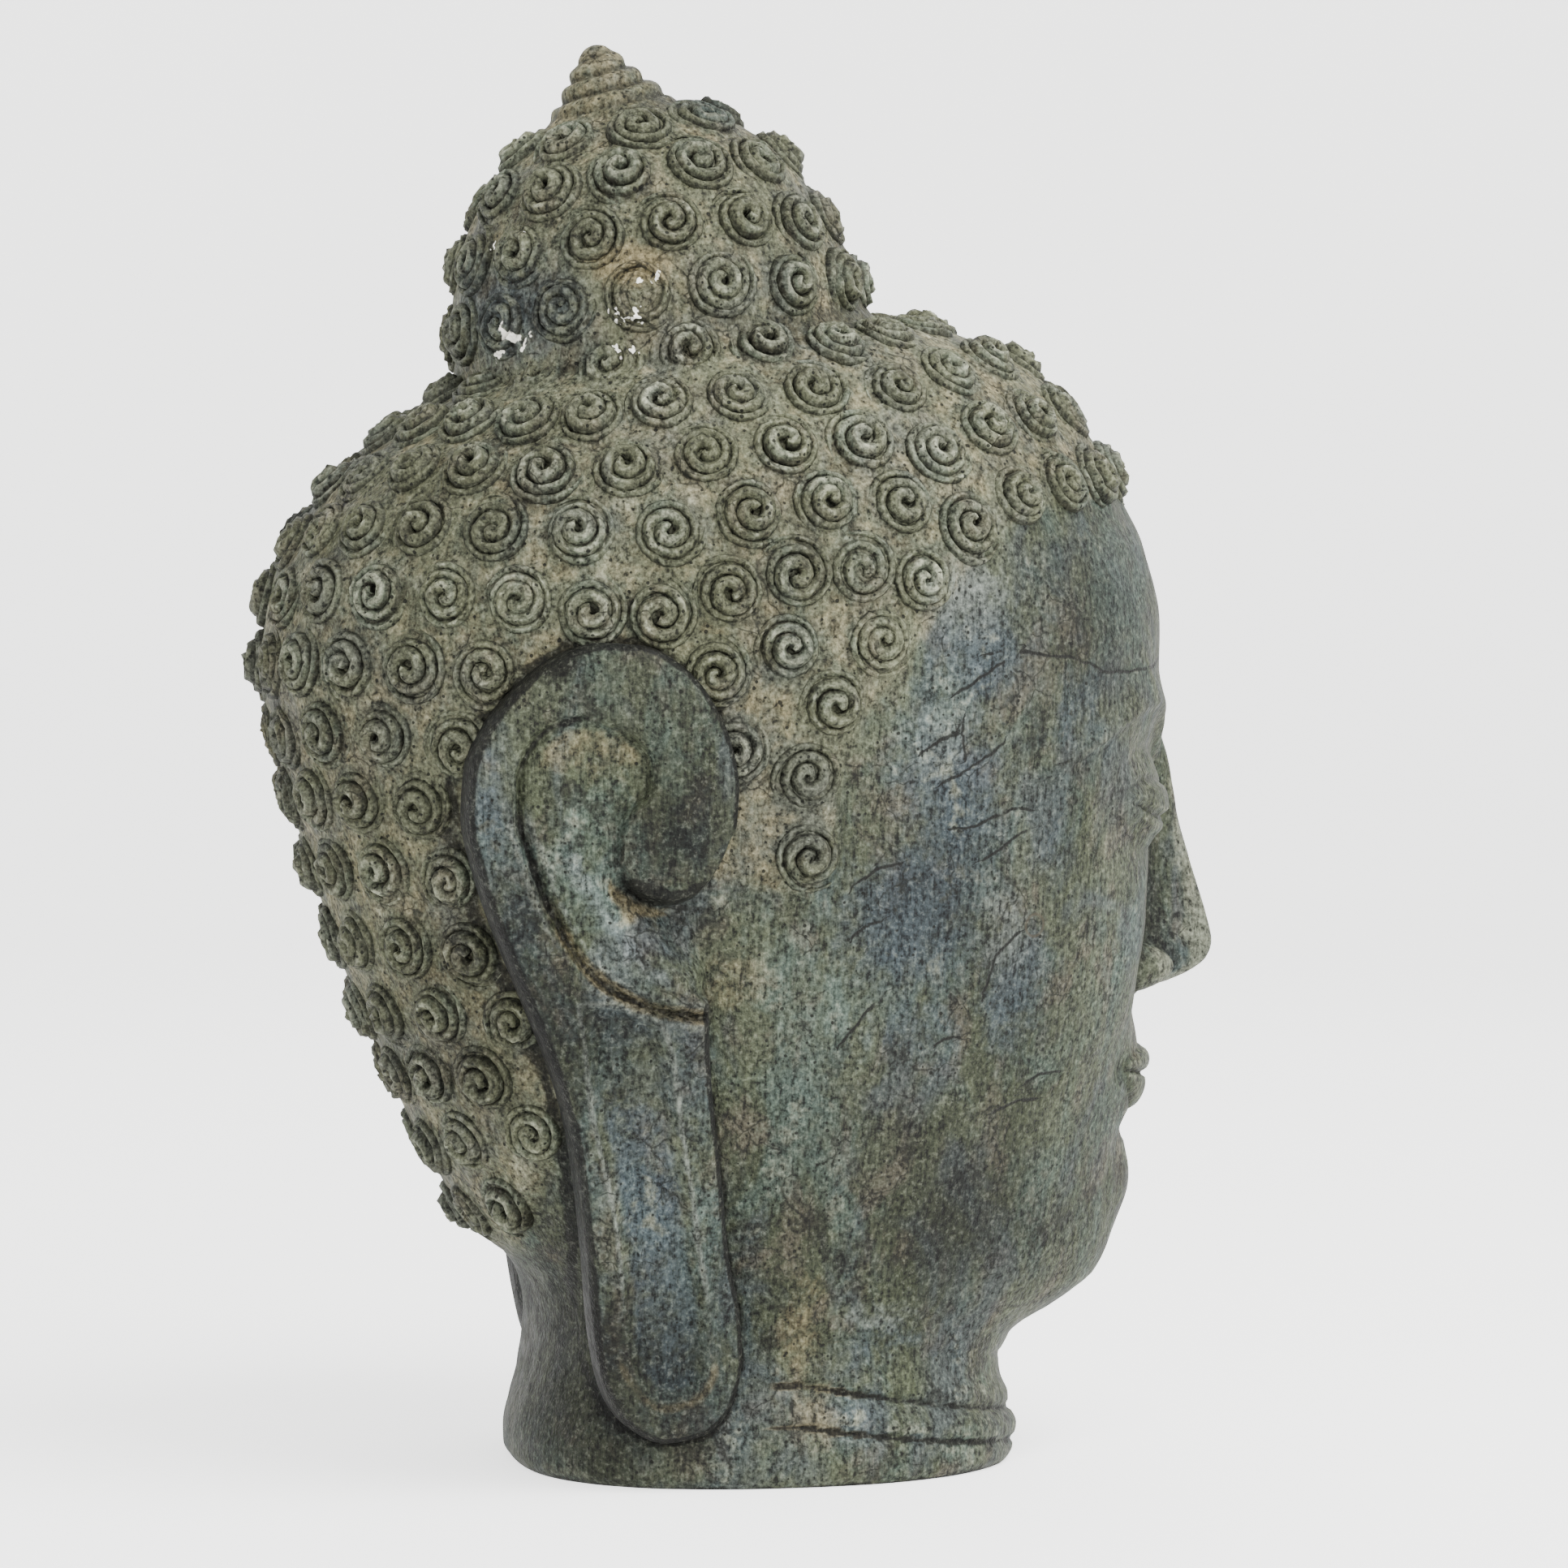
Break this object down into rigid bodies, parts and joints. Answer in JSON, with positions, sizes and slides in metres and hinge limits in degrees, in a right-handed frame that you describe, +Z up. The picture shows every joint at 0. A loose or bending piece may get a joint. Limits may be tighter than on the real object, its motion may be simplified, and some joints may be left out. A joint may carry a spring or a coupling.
{
  "type": "buddha head",
  "caption": "Bronze buddha head with rows of coiled curls, a topknot with a twisted point, long ears and a ringed neck cut off flat, to stand on a table, shelf or plinth.",
  "frame": {"origin": "centre of the neck's flat underside, on the surface that it stands on", "axes": "+Z up, the face looks along -Y, +X towards the head's own left side"},
  "size_m": [0.2966, 0.4164, 0.5952],
  "materials": {
    "bronze": "old grey-green patina with ochre dust in the hollows, satin"
  },
  "bodies": {
    "root": {"head": "bronze"}
  },
  "joints": []
}
